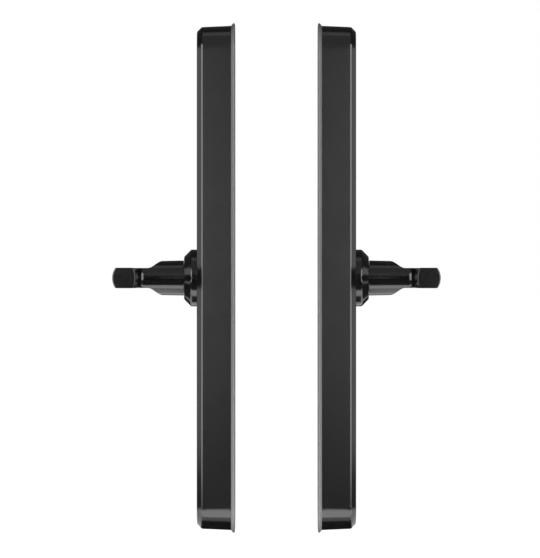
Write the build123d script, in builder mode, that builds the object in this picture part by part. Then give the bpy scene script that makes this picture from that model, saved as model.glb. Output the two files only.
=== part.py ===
from build123d import *
import os
from math import asin, cos, degrees, radians, sin, tan

# Electronic door lock: an outside and an inside unit, each with a lever handle, a door's thickness apart.
# Millimetres. X runs through the door along the spindle, Y across the door, Z up.
# The origin is on the spindle axis at the middle of the door. The inside unit is at +X. Every piece is
# drawn on the +X side, and the pieces of the outside unit are mirrored to -X when they are written.

# Door and housing
DOOR_THICKNESS = 57.2
UNIT_HEIGHT = 350.0
UNIT_WIDTH = 75.0
UNIT_DEPTH = 26.0
CORNER_RADIUS = 18.0
RIM_LIP = 1.75
RIM_EDGE = 1.2
RIM_FLARE = 1.3
DRAFT_ANGLE = 2.5
FRONT_CHAMFER = 3.3
FRONT_ROUNDING = 2.0
RIM_EDGE_ROUNDING = 0.4
WALL = 2.2
FRONT_WALL = 2.6

# Base plate and its screws
PLATE_THICKNESS = 2.0
PLATE_GAP = 0.3
PLATE_SCREW_RADIUS = 1.5
PLATE_SCREW_HEAD = 2.9
PLATE_SCREW_LENGTH = 9.0
PLATE_SCREW_COLUMNS = 2
PLATE_SCREW_ROWS = 3
BOSS_RADIUS = 3.5
BOSS_SIDE_INSET = 10.5
BOSS_END_INSET = 17.0
BOLT_END_INSET = 45.0
BOLT_HOLE_RADIUS = 2.75
BOLT_THREAD_RADIUS = 2.1
POST_RADIUS = 4.5
POST_SHOULDER_RADIUS = 6.0
POST_LENGTH = 14.0
POST_SHOULDER = 2.0
POST_HOLE_DEPTH = 12.0
CABLE_SLOT_LENGTH = 22.0
CABLE_SLOT_WIDTH = 10.0
CABLE_SLOT_HEIGHT = 62.0

# Collar, its nut and the bush
COLLAR_RADIUS = 19.6
COLLAR_FACE_RADIUS = 14.6
COLLAR_BAND = 4.2
COLLAR_HEIGHT = 9.1
COLLAR_SPIGOT_RADIUS = 13.0
COLLAR_EDGE_RADIUS = 1.8
NUT_RADIUS = 15.5
NUT_HEIGHT = 3.5
NUT_NOTCH_WIDTH = 4.0
NUT_NOTCH_DEPTH = 1.6
NUT_NOTCHES = 4
BUSH_WALL = 1.4
BUSH_FLANGE = 1.2
BUSH_FLANGE_RADIUS = 12.5

# Lever
HUB_BASE_RADIUS = 12.1
HUB_END_RADIUS = 11.75
HUB_LENGTH = 16.6
NECK_SLOPE = 40.0
NECK_BLEND = 6.0
BAR_HEIGHT = 13.8
BAR_WIDTH = 15.6
BAR_INNER_RADIUS = 15.0
FINGER_GAP = 40.2
LEVER_REACH = 115.0
ELBOW_RADIUS = 15.0
INNER_BEND_RADIUS = 4.0
TIP_RADIUS = 0.6
SHANK_RADIUS = 9.0
SHANK_SQUARE = 12.5
CAM_SCREW_RADIUS = 2.0
CAM_SCREW_LENGTH = 12.0
CAM_SCREW_HEAD_RADIUS = 3.5
CAM_SCREW_HEAD = 2.6
LEVER_SWING = 45.0

# Drive cam, stop pins and return spring
CAM_RADIUS = 18.0
CAM_THICKNESS = 4.0
CAM_WEB = 1.5
CAM_BOSS_RADIUS = 11.5
CAM_BOSS = 2.0
EAR_WIDTH = 7.0
EAR_RADIUS = 23.5
LUG_WIDTH = 6.0
LUG_THICKNESS = 3.0
STOP_RADIUS = 22.0
STOP_PIN_RADIUS = 2.5
SPRING_WIRE_RADIUS = 0.9
SPRING_WIRE_SIDES = 8
SPRING_RADIUS = 17.3
SPRING_PITCH = 1.9
SPRING_TURNS = 2
SPRING_LEG_END = 26.5
ANCHOR_THICKNESS = 2.5

# Spindle and clutch
SPINDLE_SQUARE = 8.0
HUB_BEARING_RADIUS = 10.0
HUB_FLANGE_RADIUS = 12.0
HUB_FLANGE = 1.5
HUB_DRIVE_SQUARE = 14.0
RING_RADIUS = 15.0
RING_THICKNESS = 5.0
RING_GROOVE_RADIUS = 12.5
RING_GROOVE = 2.4
DOG_RADIUS = 2.0
DOG_CIRCLE = 12.0
DOG_HEIGHT = 2.2
DOG_COUNT = 3
CLUTCH_TRAVEL = 2.2
FORK_THICKNESS = 2.0
FORK_ARM = 4.3
MOTOR_DROP = 34.0
MOTOR_WIDTH = 12.0
MOTOR_HEIGHT = 10.0
MOTOR_LENGTH = 12.4
MOTOR_SCREW_RADIUS = 1.9
FORK_BLOCK_WIDTH = 10.0
FORK_BLOCK_LENGTH = 3.6
FORK_BLOCK_EDGE = 4.0
BRACKET_SHEET = 1.0
BRACKET_FOOT = 6.0
BRACKET_HEIGHT = 8.0

# Flush panel on each front face: the touch lens outside, the battery cover inside
PANEL_WIDTH = 50.0
PANEL_RADIUS = 7.0
PANEL_THICKNESS = 1.5
PANEL_TOP_MARGIN = 15.0
PANEL_FOOT = 36.0
PANEL_LEDGE = 4.0
WINDOW_RADIUS = 3.0

# Keypad behind the touch lens
GUIDE_THICKNESS = 3.0
KEY_COLUMNS = 3
KEY_ROWS = 4
KEY_PITCH = 12.5
KEY_ROW_PITCH = 22.0
KEY_WINDOW_RADIUS = 4.2
BOARD_THICKNESS = 1.6
BOARD_MARGIN = 6.5
BOARD_SCREW_RADIUS = 1.1
BOARD_SCREW_HEAD_RADIUS = 2.1
BOARD_SCREW_HEAD = 1.4
PILLAR_RADIUS = 2.8
PILLAR_SPREAD = 30.0
BUZZER_RADIUS = 8.0
BUZZER_HEIGHT = 4.5
BUZZER_PORT_RADIUS = 1.2
BUZZER_PORT_DEPTH = 2.2
SOCKET_LENGTH = 14.0
SOCKET_WIDTH = 5.0
SOCKET_HEIGHT = 4.0
SOCKET_WALL = 0.8

# Key override below the lever
KEY_DROP = 72.0
KEY_COVER_RADIUS = 13.0
KEY_COVER_THICKNESS = 1.5
KEY_NOTCH_RADIUS = 2.4
BARREL_RADIUS = 10.0
BARREL_FLANGE_RADIUS = 14.0
BARREL_FLANGE = 2.5
PLUG_RADIUS = 6.5
PLUG_NECK_RADIUS = 5.0
PLUG_NECK_LENGTH = 5.0
KEYWAY_WIDTH = 2.2
KEYWAY_HEIGHT = 8.6
KEYWAY_DEPTH = 14.0
TAIL_SLOT_WIDTH = 2.6
TAIL_SLOT_HEIGHT = 6.0
TAIL_SLOT_DEPTH = 4.0

# Batteries and their box
CELL_RADIUS = 7.15
CELL_TIP_RADIUS = 2.7
CELL_TIP = 1.3
CELL_SPACING = 14.9
BOX_WALL = 1.5
BOX_FLANGE = 2.5
BOX_FLANGE_THICKNESS = 1.5
BOX_FOOT_RADIUS = 2.5
CONTACT_SHEET = 0.4
CONTACT_WIDTH = 9.0
CONTACT_RISE = 3.0
CONTACT_ROOM = 5.4
COVER_RIB = 1.2
COVER_RIB_DEPTH = 3.0
COVER_NOTCH_RADIUS = 3.2

# Control board in the inside unit
CONTROL_WIDTH = 46.0
CONTROL_HEIGHT = 84.0
CONTROL_END_MARGIN = 35.0
CONTROL_PILLAR_LENGTH = 8.0
CONTROL_SCREW_INSET = 4.0
CONTROL_SCREW_LENGTH = 4.0
CHIP_SIZE = 10.0
CHIP_HEIGHT = 1.4
CHIP_PITCH = 20.0
CHIP_COUNT = 3

# Clearances
FLUSH_GAP = 0.2
SLIP = 0.1
RUNNING = 0.05
END_PLAY = 0.2
HUB_GAP = 0.3
SPRING_GAP = 0.8

# Places along X, worked out from the sizes above
DOOR_FACE = DOOR_THICKNESS / 2
FRONT_FACE = DOOR_FACE + UNIT_DEPTH
WALL_INSIDE = FRONT_FACE - FRONT_WALL
PLATE_INSIDE = DOOR_FACE + PLATE_THICKNESS
COLLAR_FACE = FRONT_FACE + COLLAR_HEIGHT
NUT_BACK = WALL_INSIDE - NUT_HEIGHT
SPIGOT_END = NUT_BACK - END_PLAY
BUSH_BACK = SPIGOT_END - BUSH_FLANGE
CAM_FRONT = BUSH_BACK - END_PLAY - CAM_BOSS
CAM_BACK = CAM_FRONT - CAM_THICKNESS
SHANK_SHOULDER = BUSH_BACK - END_PLAY
SHANK_END = CAM_BACK + CAM_WEB + SLIP
HUB_BASE = COLLAR_FACE + HUB_GAP
BAR_INSIDE = FRONT_FACE + FINGER_GAP
BAR_OUTSIDE = BAR_INSIDE + BAR_WIDTH
ELBOW_X = BAR_OUTSIDE - ELBOW_RADIUS
PANEL_BACK = FRONT_FACE - PANEL_THICKNESS
GUIDE_BACK = PANEL_BACK - GUIDE_THICKNESS
BOARD_BACK = GUIDE_BACK - BOARD_THICKNESS
BARREL_FACE = FRONT_FACE - KEY_COVER_THICKNESS - END_PLAY
PLUG_SHOULDER = PLATE_INSIDE + PLUG_NECK_LENGTH
CELL_AXIS = PANEL_BACK - END_PLAY - CELL_RADIUS
BOX_FLOOR = CELL_AXIS - CELL_RADIUS - SLIP
BOX_BACK = BOX_FLOOR - BOX_WALL
CONTROL_FRONT = WALL_INSIDE - CONTROL_PILLAR_LENGTH
MOTOR_FACE = WALL_INSIDE - MOTOR_LENGTH
BRACKET_FACE = MOTOR_FACE - BRACKET_SHEET
HUB_DRIVE_START = PLATE_INSIDE + SLIP + HUB_FLANGE
HUB_DRIVE_END = CAM_BACK - CAM_SCREW_HEAD - END_PLAY - SLIP
RING_FRONT = CAM_BACK - END_PLAY - DOG_HEIGHT
RING_BACK = RING_FRONT - RING_THICKNESS
RING_MIDDLE = RING_FRONT - RING_THICKNESS / 2

# Other sizes worked out from the sizes above
DRAFT = tan(radians(DRAFT_ANGLE))
BODY_START = RIM_EDGE + RIM_FLARE
BODY_END = UNIT_DEPTH - FRONT_CHAMFER
BODY_INSET = RIM_LIP + (BODY_END - BODY_START) * DRAFT
MOUTH_INSET = RIM_LIP + WALL
CAVITY_DEPTH = UNIT_DEPTH - FRONT_WALL
BOSS_Y = UNIT_WIDTH / 2 - BOSS_SIDE_INSET
BOSS_Z = UNIT_HEIGHT / 2 - BOSS_END_INSET
BOLT_SPACING = UNIT_HEIGHT - 2 * BOLT_END_INSET
BUSH_RADIUS = SHANK_RADIUS + RUNNING + BUSH_WALL
COLLAR_BORE = BUSH_RADIUS + RUNNING
BAR_HALF = BAR_HEIGHT / 2
ELBOW_Y = HUB_END_RADIUS - ELBOW_RADIUS
SHOULDER_X = HUB_BASE + HUB_LENGTH
NECK_X = SHOULDER_X + (HUB_END_RADIUS - BAR_HALF) / tan(radians(NECK_SLOPE))
STOP_ANGLE = LEVER_SWING + degrees(asin((EAR_WIDTH / 2 + STOP_PIN_RADIUS + END_PLAY) / STOP_RADIUS))
SPRING_FRONT = WALL_INSIDE - END_PLAY - SPRING_WIRE_RADIUS
SPRING_LEG_Y = LUG_WIDTH / 2 + SPRING_WIRE_RADIUS + END_PLAY
SPRING_LEG_ANGLE = degrees(asin(SPRING_LEG_Y / SPRING_RADIUS))
SPRING_LENGTH = SPRING_PITCH * (SPRING_TURNS + 2 * SPRING_LEG_ANGLE / 360)
LUG_RADIUS = SPRING_RADIUS + SPRING_WIRE_RADIUS + SPRING_GAP
ANCHOR_RADIUS = LUG_RADIUS + LUG_THICKNESS + SPRING_GAP
SPINDLE_SOCKET = SPINDLE_SQUARE + END_PLAY
PANEL_HEIGHT = UNIT_HEIGHT / 2 - PANEL_TOP_MARGIN - PANEL_FOOT
PANEL_CENTRE = PANEL_FOOT + PANEL_HEIGHT / 2
WINDOW_WIDTH = PANEL_WIDTH - 2 * PANEL_LEDGE
WINDOW_HEIGHT = PANEL_HEIGHT - 2 * PANEL_LEDGE
BOARD_HEIGHT = WINDOW_HEIGHT + 2 * BOARD_MARGIN
PILLAR_Z = BOARD_HEIGHT / 2 - PILLAR_RADIUS
KEYPAD_SCREW_LENGTH = WALL_INSIDE - BOARD_BACK - END_PLAY
BOX_WIDTH = WINDOW_WIDTH - 2 * FLUSH_GAP
BOX_HEIGHT = WINDOW_HEIGHT - 2 * FLUSH_GAP
CELL_PITCH = BOX_HEIGHT / 2 - BOX_WALL - CONTACT_ROOM
CELL_LENGTH = CELL_PITCH - CELL_TIP - 2 * END_PLAY
CONTROL_DROP = UNIT_HEIGHT / 2 - CONTROL_END_MARGIN - CONTROL_HEIGHT / 2
FORK_BLOCK_FRONT = BRACKET_FACE - CLUTCH_TRAVEL - END_PLAY
FORK_NECK = FORK_BLOCK_EDGE + MOTOR_SCREW_RADIUS

os.makedirs("parts", exist_ok=True)


def across(distance):
    """Plane across the spindle axis, facing away from the door, at a distance from mid door."""
    return Plane.YZ.offset(distance)


def outline(depth, inset):
    """The unit's rounded outline, drawn in by an inset, at a depth from the door face."""
    with BuildSketch(across(DOOR_FACE + depth)) as section:
        RectangleRounded(UNIT_WIDTH - 2 * inset, UNIT_HEIGHT - 2 * inset, CORNER_RADIUS - inset)
    return section.sketch


def edges_at(builder, depth):
    """The edges that run round a unit at a depth from the door face."""
    return builder.edges().filter_by_position(Axis.X, DOOR_FACE + depth, DOOR_FACE + depth)


def write_inside(name, piece):
    """Write a piece of the inside unit where it was drawn."""
    piece.label = name
    export_step(piece, f"parts/{name}.step")


def write_outside(name, piece):
    """Write a piece of the outside unit, mirrored through the middle of the door."""
    write_inside(name, mirror(piece, about=Plane.YZ))


def write_both(name, piece):
    """Write a piece that both units have."""
    write_inside(f"inner_{name}", piece)
    write_outside(f"outer_{name}", piece)


# Housing: one drafted shell, as both units have it
with BuildPart() as housing:
    loft(
        [
            outline(BODY_START, RIM_LIP),
            outline(BODY_END, BODY_INSET),
            outline(UNIT_DEPTH, BODY_INSET + FRONT_CHAMFER),
        ],
        ruled=True,
    )
    fillet(edges_at(housing, BODY_END) + edges_at(housing, UNIT_DEPTH), FRONT_ROUNDING)
    loft(
        [outline(0, MOUTH_INSET), outline(CAVITY_DEPTH, MOUTH_INSET + CAVITY_DEPTH * DRAFT)],
        ruled=True,
        mode=Mode.SUBTRACT,
    )
    with BuildSketch(across(FRONT_FACE)):
        with Locations((0, PANEL_CENTRE)):
            RectangleRounded(
                PANEL_WIDTH + 2 * FLUSH_GAP, PANEL_HEIGHT + 2 * FLUSH_GAP, PANEL_RADIUS + FLUSH_GAP
            )
    extrude(amount=-PANEL_THICKNESS, mode=Mode.SUBTRACT)
    with BuildSketch(across(FRONT_FACE)):
        with Locations((0, PANEL_CENTRE)):
            RectangleRounded(WINDOW_WIDTH, WINDOW_HEIGHT, WINDOW_RADIUS)
        Circle(COLLAR_SPIGOT_RADIUS + SLIP)
    extrude(amount=-FRONT_WALL, mode=Mode.SUBTRACT)
    with BuildSketch(across(PLATE_INSIDE)):
        with GridLocations(2 * BOSS_Y, BOSS_Z, PLATE_SCREW_COLUMNS, PLATE_SCREW_ROWS):
            Circle(BOSS_RADIUS)
            Circle(PLATE_SCREW_RADIUS + RUNNING, mode=Mode.SUBTRACT)
    extrude(amount=WALL_INSIDE - PLATE_INSIDE)
    with BuildSketch(across(SPRING_FRONT - SPRING_LENGTH - SPRING_WIRE_RADIUS)):
        with Locations((0, -ANCHOR_RADIUS - ANCHOR_THICKNESS / 2)):
            Rectangle(LUG_WIDTH, ANCHOR_THICKNESS)
    extrude(amount=WALL_INSIDE - SPRING_FRONT + SPRING_LENGTH + SPRING_WIRE_RADIUS)

with BuildPart() as outer_housing:
    add(housing.part)
    with BuildSketch(across(FRONT_FACE)):
        with Locations((0, -KEY_DROP)):
            Circle(KEY_COVER_RADIUS + FLUSH_GAP)
    extrude(amount=-KEY_COVER_THICKNESS, mode=Mode.SUBTRACT)
    with BuildSketch(across(FRONT_FACE)):
        with Locations((0, -KEY_DROP)):
            Circle(BARREL_RADIUS + SLIP)
    extrude(amount=-FRONT_WALL, mode=Mode.SUBTRACT)
    with BuildSketch(across(GUIDE_BACK)):
        with Locations((0, PANEL_CENTRE)):
            with GridLocations(PILLAR_SPREAD, 2 * PILLAR_Z, 2, 2):
                Circle(PILLAR_RADIUS)
                Circle(BOARD_SCREW_RADIUS + RUNNING, mode=Mode.SUBTRACT)
    extrude(amount=WALL_INSIDE - GUIDE_BACK)
write_outside("outer_housing", outer_housing.part)

with BuildPart() as inner_housing:
    add(housing.part)
    with BuildSketch(across(CONTROL_FRONT)):
        with Locations((0, -CONTROL_DROP)):
            with GridLocations(
                CONTROL_WIDTH - 2 * CONTROL_SCREW_INSET, CONTROL_HEIGHT - 2 * CONTROL_SCREW_INSET, 2, 2
            ):
                Circle(PILLAR_RADIUS)
                Circle(BOARD_SCREW_RADIUS + RUNNING, mode=Mode.SUBTRACT)
    extrude(amount=CONTROL_PILLAR_LENGTH)
write_inside("inner_housing", inner_housing.part)

# Gasket: the flared rubber rim that seals each housing to the door
with BuildPart() as gasket:
    loft([outline(0, 0), outline(RIM_EDGE, 0), outline(BODY_START, RIM_LIP)], ruled=True)
    fillet(edges_at(gasket, 0) + edges_at(gasket, RIM_EDGE), RIM_EDGE_ROUNDING)
    extrude(outline(0, MOUTH_INSET), amount=BODY_START, mode=Mode.SUBTRACT)
write_both("gasket", gasket.part)

# Base plate that closes the back of each unit and rests on the door
with BuildPart() as base_plate:
    extrude(outline(0, MOUTH_INSET + PLATE_GAP), amount=PLATE_THICKNESS)
    with BuildSketch(across(DOOR_FACE)):
        Circle(HUB_BEARING_RADIUS + RUNNING)
        with Locations((0, CABLE_SLOT_HEIGHT)):
            SlotOverall(CABLE_SLOT_LENGTH, CABLE_SLOT_WIDTH)
    extrude(amount=PLATE_THICKNESS, mode=Mode.SUBTRACT)
    with Locations(Plane(origin=(DOOR_FACE, 0, 0), x_dir=(0, -1, 0), z_dir=(-1, 0, 0))):
        with GridLocations(2 * BOSS_Y, BOSS_Z, PLATE_SCREW_COLUMNS, PLATE_SCREW_ROWS):
            CounterSinkHole(
                PLATE_SCREW_RADIUS + SLIP, PLATE_SCREW_HEAD + SLIP, PLATE_THICKNESS, counter_sink_angle=90
            )

with BuildPart() as outer_base_plate:
    add(base_plate.part)
    with BuildSketch(across(DOOR_FACE)):
        with GridLocations(0, BOLT_SPACING, 1, 2):
            Circle(POST_RADIUS + RUNNING)
        with Locations((0, -KEY_DROP)):
            Circle(PLUG_NECK_RADIUS + SLIP)
    extrude(amount=PLATE_THICKNESS, mode=Mode.SUBTRACT)
write_outside("outer_base_plate", outer_base_plate.part)

with BuildPart() as inner_base_plate:
    add(base_plate.part)
    with BuildSketch(across(DOOR_FACE)):
        with GridLocations(0, BOLT_SPACING, 1, 2):
            Circle(BOLT_HOLE_RADIUS)
    extrude(amount=PLATE_THICKNESS, mode=Mode.SUBTRACT)
write_inside("inner_base_plate", inner_base_plate.part)

# Countersunk screws, six to a plate
with BuildPart() as plate_screws:
    with BuildSketch(across(DOOR_FACE)):
        with GridLocations(2 * BOSS_Y, BOSS_Z, PLATE_SCREW_COLUMNS, PLATE_SCREW_ROWS):
            Circle(PLATE_SCREW_RADIUS)
    extrude(amount=PLATE_SCREW_LENGTH)
    with BuildSketch(across(DOOR_FACE)):
        with GridLocations(2 * BOSS_Y, BOSS_Z, PLATE_SCREW_COLUMNS, PLATE_SCREW_ROWS):
            Circle(PLATE_SCREW_HEAD)
    extrude(amount=PLATE_SCREW_HEAD - PLATE_SCREW_RADIUS, taper=45)
write_both("plate_screws", plate_screws.part)

# Threaded posts that the through bolts screw into
with BuildPart() as bolt_posts:
    with BuildSketch(across(DOOR_FACE)):
        with GridLocations(0, BOLT_SPACING, 1, 2):
            Circle(POST_RADIUS)
    extrude(amount=POST_LENGTH)
    with BuildSketch(across(PLATE_INSIDE)):
        with GridLocations(0, BOLT_SPACING, 1, 2):
            Circle(POST_SHOULDER_RADIUS)
    extrude(amount=POST_SHOULDER)
    with BuildSketch(across(DOOR_FACE)):
        with GridLocations(0, BOLT_SPACING, 1, 2):
            Circle(BOLT_THREAD_RADIUS)
    extrude(amount=POST_HOLE_DEPTH, mode=Mode.SUBTRACT)
write_outside("bolt_posts", bolt_posts.part)

# Collar: a chamfered ring on the front face with a threaded spigot through the wall
with BuildPart() as collar:
    with BuildSketch(Plane.XY):
        with BuildLine():
            Polyline(
                (SPIGOT_END, COLLAR_BORE),
                (SPIGOT_END, COLLAR_SPIGOT_RADIUS),
                (FRONT_FACE, COLLAR_SPIGOT_RADIUS),
                (FRONT_FACE, COLLAR_RADIUS),
                (FRONT_FACE + COLLAR_BAND, COLLAR_RADIUS),
                (COLLAR_FACE, COLLAR_FACE_RADIUS),
                (COLLAR_FACE, COLLAR_BORE),
                close=True,
            )
        make_face()
    revolve(axis=Axis.X)
    rims = collar.edges().filter_by(GeomType.CIRCLE).filter_by(
        lambda edge: edge.center().X > FRONT_FACE + RUNNING and edge.radius > COLLAR_SPIGOT_RADIUS
    )
    fillet(rims, COLLAR_EDGE_RADIUS)
write_both("collar", collar.part)

# Slotted nut that draws the collar against the wall
with BuildPart() as collar_nut:
    with BuildSketch(across(NUT_BACK)):
        Circle(NUT_RADIUS)
        Circle(COLLAR_SPIGOT_RADIUS + RUNNING, mode=Mode.SUBTRACT)
        with PolarLocations(NUT_RADIUS, NUT_NOTCHES):
            Rectangle(2 * NUT_NOTCH_DEPTH, NUT_NOTCH_WIDTH, mode=Mode.SUBTRACT)
    extrude(amount=NUT_HEIGHT)
write_both("collar_nut", collar_nut.part)

# Flanged bush that the lever turns in
with BuildPart() as bush:
    with BuildSketch(across(BUSH_BACK)):
        Circle(BUSH_FLANGE_RADIUS)
    extrude(amount=BUSH_FLANGE)
    with BuildSketch(across(SPIGOT_END)):
        Circle(BUSH_RADIUS)
    extrude(amount=COLLAR_FACE - SPIGOT_END)
    with BuildSketch(across(BUSH_BACK)):
        Circle(SHANK_RADIUS + RUNNING)
    extrude(amount=COLLAR_FACE - BUSH_BACK, mode=Mode.SUBTRACT)
write_both("bush", bush.part)

# Lever: round hub, elbow and bar, flattened above and below in an S-curve from the hub to the bar's height
with BuildPart() as lever:
    with BuildSketch(Plane.XZ):
        with BuildLine():
            Polyline(
                (HUB_BASE, 0),
                (HUB_BASE, HUB_BASE_RADIUS),
                (SHOULDER_X, HUB_END_RADIUS),
                (ELBOW_X, HUB_END_RADIUS),
                (ELBOW_X, 0),
                close=True,
            )
        make_face()
    revolve(axis=Axis.X)
    with BuildSketch(Plane.XZ):
        with Locations((ELBOW_X, 0)):
            Rectangle(BAR_WIDTH / 2, HUB_END_RADIUS, align=Align.MIN)
    revolve(axis=Axis.X, revolution_arc=180)
    with BuildSketch(Plane.XZ.offset(-ELBOW_Y)):
        with Locations((BAR_OUTSIDE - HUB_END_RADIUS, 0)):
            Circle(HUB_END_RADIUS)
        with Locations((BAR_INSIDE + BAR_INNER_RADIUS, 0)):
            Circle(BAR_INNER_RADIUS, mode=Mode.INTERSECT)
    extrude(amount=LEVER_REACH + ELBOW_Y)
    with BuildSketch(Plane.XZ.offset(-ELBOW_Y)):
        with Locations((BAR_OUTSIDE - HUB_END_RADIUS, 0)):
            Circle(HUB_END_RADIUS)
        with Locations((ELBOW_X, 0)):
            Rectangle(ELBOW_RADIUS, 2 * HUB_END_RADIUS, align=(Align.MIN, Align.CENTER), mode=Mode.INTERSECT)
    revolve(axis=Axis((ELBOW_X, ELBOW_Y, 0), (0, 0, 1)), revolution_arc=90)
    with BuildSketch(Plane.XZ):
        with BuildLine():
            neck = FilletPolyline(
                (HUB_BASE, HUB_BASE_RADIUS + END_PLAY),
                (SHOULDER_X, HUB_END_RADIUS + RUNNING),
                (NECK_X, BAR_HALF),
                (BAR_OUTSIDE + END_PLAY, BAR_HALF),
                radius=NECK_BLEND,
            )
            Polyline(
                neck @ 1,
                (BAR_OUTSIDE + END_PLAY, 2 * HUB_BASE_RADIUS),
                (HUB_BASE, 2 * HUB_BASE_RADIUS),
                neck @ 0,
            )
        make_face()
        mirror(about=Plane.XZ)
    extrude(amount=LEVER_REACH + END_PLAY, both=True, mode=Mode.SUBTRACT)
    fillet(lever.faces().sort_by(Axis.Y)[0].edges(), TIP_RADIUS)
    inner_bend = lever.edges().filter_by(GeomType.BSPLINE).filter_by(
        lambda edge: -2 * HUB_END_RADIUS < edge.center().Y < 0
    )
    fillet(inner_bend.sort_by_distance((BAR_INSIDE, -HUB_END_RADIUS, 0))[0], INNER_BEND_RADIUS)
    with BuildSketch(across(SHANK_SHOULDER)):
        Circle(SHANK_RADIUS)
    extrude(amount=HUB_BASE - SHANK_SHOULDER)
    with BuildSketch(across(SHANK_END)):
        Rectangle(SHANK_SQUARE, SHANK_SQUARE)
    extrude(amount=SHANK_SHOULDER - SHANK_END)
    with BuildSketch(across(SHANK_END)):
        Circle(CAM_SCREW_RADIUS + RUNNING)
    extrude(amount=CAM_SCREW_LENGTH, mode=Mode.SUBTRACT)
write_both("lever", lever.part)

# Drive cam: carries the lever's square, the ear that meets the stop pins and the lug between the spring legs
with BuildPart() as drive_cam:
    with BuildSketch(across(CAM_BACK)):
        Circle(CAM_RADIUS)
        with Locations((0, EAR_RADIUS / 2)):
            Rectangle(EAR_WIDTH, EAR_RADIUS)
        with Locations((0, -(LUG_RADIUS + LUG_THICKNESS) / 2)):
            Rectangle(LUG_WIDTH, LUG_RADIUS + LUG_THICKNESS)
    extrude(amount=CAM_THICKNESS)
    with BuildSketch(across(CAM_FRONT)):
        Circle(CAM_BOSS_RADIUS)
    extrude(amount=CAM_BOSS)
    with BuildSketch(across(CAM_FRONT)):
        with Locations((0, -LUG_RADIUS - LUG_THICKNESS / 2)):
            Rectangle(LUG_WIDTH, LUG_THICKNESS)
    extrude(amount=SPRING_FRONT - CAM_FRONT)
    with BuildSketch(across(CAM_BACK + CAM_WEB)):
        Rectangle(SHANK_SQUARE + 2 * RUNNING, SHANK_SQUARE + 2 * RUNNING)
    extrude(amount=CAM_THICKNESS + CAM_BOSS - CAM_WEB, mode=Mode.SUBTRACT)
    with BuildSketch(across(CAM_BACK)):
        Circle(CAM_SCREW_RADIUS + SLIP)
    extrude(amount=CAM_WEB, mode=Mode.SUBTRACT)

with BuildPart() as outer_drive_cam:
    add(drive_cam.part)
    with BuildSketch(across(CAM_BACK)):
        with PolarLocations(DOG_CIRCLE, DOG_COUNT):
            Circle(DOG_RADIUS + HUB_GAP)
    extrude(amount=CAM_THICKNESS, mode=Mode.SUBTRACT)
write_outside("outer_drive_cam", outer_drive_cam.part)

# The inside cam has a tail that runs in the base plate and takes the spindle's square
with BuildPart() as inner_drive_cam:
    add(drive_cam.part)
    with BuildSketch(across(DOOR_FACE + HUB_GAP)):
        Circle(HUB_BEARING_RADIUS)
        Rectangle(SPINDLE_SOCKET, SPINDLE_SOCKET, mode=Mode.SUBTRACT)
    extrude(amount=CAM_BACK - DOOR_FACE - HUB_GAP)
write_inside("inner_drive_cam", inner_drive_cam.part)

# Screw that holds the cam on the lever's square
with BuildPart() as cam_screw:
    with BuildSketch(across(CAM_BACK - CAM_SCREW_HEAD)):
        Circle(CAM_SCREW_HEAD_RADIUS)
    extrude(amount=CAM_SCREW_HEAD)
    with BuildSketch(across(CAM_BACK)):
        Circle(CAM_SCREW_RADIUS)
    extrude(amount=CAM_SCREW_LENGTH)
write_both("cam_screw", cam_screw.part)

# Stop pins on the base plate, one each side of the cam's ear
with BuildPart() as stop_pins:
    with BuildSketch(across(PLATE_INSIDE)):
        for side in (-1, 1):
            with Locations(
                (side * STOP_RADIUS * sin(radians(STOP_ANGLE)), STOP_RADIUS * cos(radians(STOP_ANGLE)))
            ):
                Circle(STOP_PIN_RADIUS)
    extrude(amount=CAM_FRONT - PLATE_INSIDE)
write_both("stop_pins", stop_pins.part)

# Return spring: a torsion coil round the nut, its two legs astride the lug and the anchor
spring_seat = Plane(
    origin=(SPRING_FRONT - SPRING_LENGTH, 0, 0),
    x_dir=(0, -sin(radians(SPRING_LEG_ANGLE)), -cos(radians(SPRING_LEG_ANGLE))),
    z_dir=(1, 0, 0),
)
with BuildLine() as upright_coil:
    Helix(SPRING_PITCH, SPRING_LENGTH, SPRING_RADIUS)
coil = upright_coil.line.moved(spring_seat.location)
with BuildPart() as return_spring:
    with BuildSketch(Plane(coil @ 0, z_dir=coil % 0)):
        RegularPolygon(SPRING_WIRE_RADIUS, SPRING_WIRE_SIDES)
    sweep(path=coil, is_frenet=True)
    for end in (0, 1):
        with BuildSketch(Plane(origin=coil @ end, z_dir=(0, 0, -1))):
            RegularPolygon(SPRING_WIRE_RADIUS, SPRING_WIRE_SIDES)
        extrude(amount=SPRING_LEG_END + (coil @ end).Z)
write_both("return_spring", return_spring.part)

# Spindle hub of the outside unit, which turns in the base plate
with BuildPart() as spindle_hub:
    with BuildSketch(across(DOOR_FACE + HUB_GAP)):
        Circle(HUB_BEARING_RADIUS)
    extrude(amount=PLATE_THICKNESS - HUB_GAP + SLIP)
    with BuildSketch(across(PLATE_INSIDE + SLIP)):
        Circle(HUB_FLANGE_RADIUS)
    extrude(amount=HUB_FLANGE)
    with BuildSketch(across(HUB_DRIVE_START)):
        Rectangle(HUB_DRIVE_SQUARE, HUB_DRIVE_SQUARE)
    extrude(amount=HUB_DRIVE_END - HUB_DRIVE_START)
    with BuildSketch(across(DOOR_FACE + HUB_GAP)):
        Rectangle(SPINDLE_SOCKET, SPINDLE_SOCKET)
    extrude(amount=HUB_DRIVE_END - DOOR_FACE - HUB_GAP, mode=Mode.SUBTRACT)
write_outside("spindle_hub", spindle_hub.part)

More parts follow.
